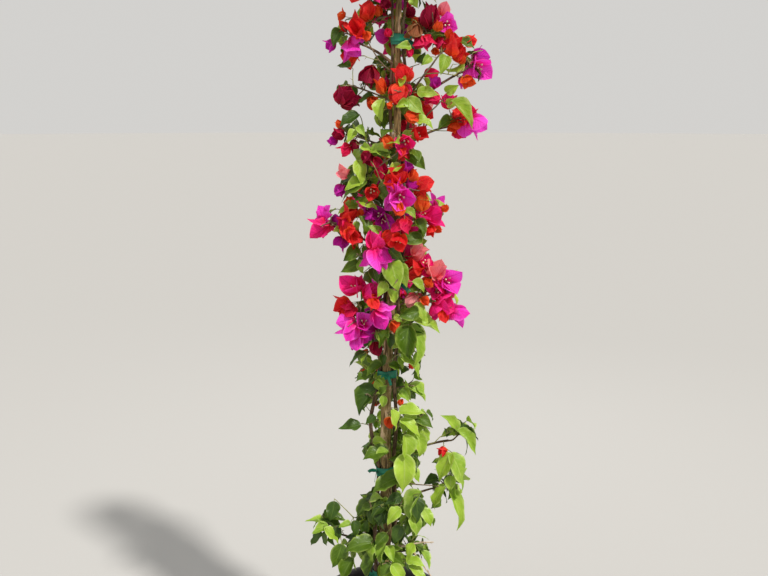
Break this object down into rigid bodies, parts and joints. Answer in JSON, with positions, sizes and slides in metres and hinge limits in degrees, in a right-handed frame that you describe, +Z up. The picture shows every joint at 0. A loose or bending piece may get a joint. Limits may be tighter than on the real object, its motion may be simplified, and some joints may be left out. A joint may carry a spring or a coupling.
{
  "type": "potted bougainvillea",
  "caption": "Slim upright bougainvillea trained as a column, with leaves and papery blooms, standing in a round nursery pot.",
  "frame": {"origin": "centre of the pot's flat underside, on the ground", "axes": "+Z up along the plant, +X to the right and +Y away from the viewer in the picture"},
  "size_m": [0.4829, 0.39, 2.1905],
  "materials": {
    "pot_plastic": "moulded, scuffed",
    "potting_mix": "loose bark and peat",
    "bark": "rough",
    "dry_wood": "rough",
    "tie_tape": "satin",
    "leaf": "satin",
    "bract_magenta": "papery",
    "bract_red": "papery",
    "bract_orange": "papery"
  },
  "bodies": {
    "root": {"pot": "pot_plastic", "root_ball": "potting_mix", "trunk": "bark", "stem_left": "bark", "stem_right": "bark", "bough_foot_left_far": "bark", "bough_low_far_right": "bark", "bough_middle_far_right": "bark", "bough_bloom_left": "bark", "bough_bloom_far_right": "bark", "bough_bloom_far_right_top": "bark", "bough_bloom_left_top": "bark", "dry_twig": "dry_wood", "tie_1": "tie_tape", "tie_2": "tie_tape", "tie_3": "tie_tape", "tie_4": "tie_tape", "tie_5": "tie_tape", "foot_left_far": "leaf", "foot_left": "leaf", "foot_front": "leaf", "foot_right": "leaf", "foot_back": "leaf", "low_front_right": "leaf", "low_front_left": "leaf", "low_far_right": "leaf", "middle_front_right": "leaf", "low_back": "leaf", "middle_left": "leaf", "middle_far_right": "leaf", "middle_right": "leaf", "upper_left": "leaf", "upper_right": "leaf", "middle_back": "leaf", "leaves_right": "leaf", "bloom_left_low": "bract_magenta", "bloom_right_low": "bract_magenta", "bloom_back_low": "bract_magenta", "leaves_front": "leaf", "bloom_front_left": "bract_magenta", "bloom_front_low": "bract_red", "bloom_left": "bract_magenta", "bloom_right": "bract_magenta", "bloom_back": "bract_red", "bloom_front": "bract_magenta", "leaves_left": "leaf", "bloom_back_high": "bract_magenta", "bloom_front_high": "bract_red", "bloom_left_high": "bract_red", "bloom_far_right": "bract_red", "bloom_centre_top": "bract_orange", "bloom_left_upper": "bract_red", "bloom_back_top": "bract_red", "bloom_far_right_top": "bract_magenta", "bloom_right_top": "bract_red", "bloom_left_top": "bract_red", "bloom_back_crown": "bract_magenta", "crown_left": "bract_red", "crown_right": "bract_magenta", "crown_tip": "bract_red"}
  },
  "joints": []
}
